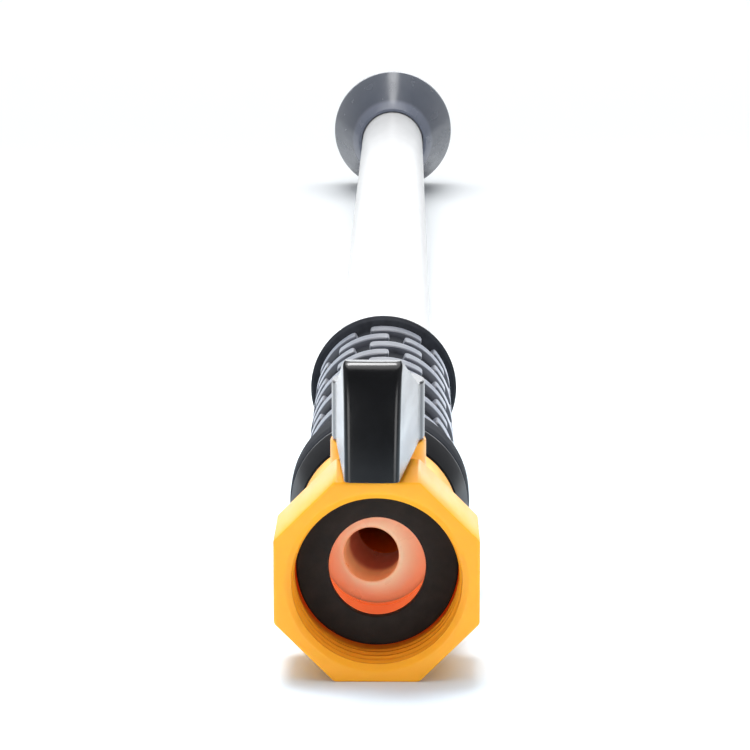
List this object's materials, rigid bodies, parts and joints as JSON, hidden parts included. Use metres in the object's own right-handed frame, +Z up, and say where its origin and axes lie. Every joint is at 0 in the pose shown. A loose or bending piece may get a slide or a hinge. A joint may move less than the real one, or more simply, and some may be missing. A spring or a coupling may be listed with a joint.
{
  "type": "hose wand with ball valve",
  "caption": "Long straight watering wand: swivel octagonal hose nut, quarter-turn ball valve with thumb lever, ribbed rubber grip, white tube and flared rose head.",
  "frame": {"origin": "under the middle of the wand, on the surface that the head's rim rests on", "axes": "+Y along the wand from the hose nut to the rose, +Z up through the valve stem and lever, +X to the right when looking from the nut along +Y"},
  "size_m": [0.0402, 0.6071, 0.0558],
  "materials": {
    "yellow_plastic": "satin moulded",
    "orange_plastic": "satin moulded",
    "seal_rubber": "matt",
    "pale_polymer": "satin",
    "ball_acetal": "smooth",
    "lever_gloss_black": "polished",
    "collar_black": "satin",
    "grip_rubber": "smooth moulded",
    "white_tube": "smooth",
    "head_grey": "satin moulded",
    "screw_steel": "plated"
  },
  "bodies": {
    "wand": {"inlet_tailpiece": "orange_plastic", "valve_body": "yellow_plastic", "ball_seat_front": "orange_plastic", "ball_seat_rear": "orange_plastic", "grip_collar": "collar_black", "grip_sleeve": "grip_rubber", "extension_tube": "white_tube", "spigot_o_ring_1": "seal_rubber", "spigot_o_ring_2": "seal_rubber", "head_o_ring_1": "seal_rubber", "head_o_ring_2": "seal_rubber", "head_shell": "head_grey", "diffuser_plate": "pale_polymer", "rose_gasket": "seal_rubber", "rose_face": "head_grey", "rose_cap": "collar_black", "rose_screw": "screw_steel"},
    "nut": {"coupling_nut": "yellow_plastic", "hose_washer": "seal_rubber"},
    "valve_rotor": {"valve_ball": "ball_acetal", "valve_stem": "ball_acetal", "stem_o_ring_lower": "seal_rubber", "stem_o_ring_upper": "seal_rubber", "valve_lever": "lever_gloss_black"}
  },
  "joints": [
    {"name": "nut_swivel", "type": "hinge", "parent": "wand", "child": "nut", "pos_m": [0, -0.2882, 0.02005], "axis": [0, 1, 0], "continuous": true},
    {"name": "lever_turn", "type": "hinge", "parent": "wand", "child": "valve_rotor", "pos_m": [0, -0.2705, 0.02005], "axis": [0, 0, 1], "range_deg": [-88.8, 1.2]}
  ]
}
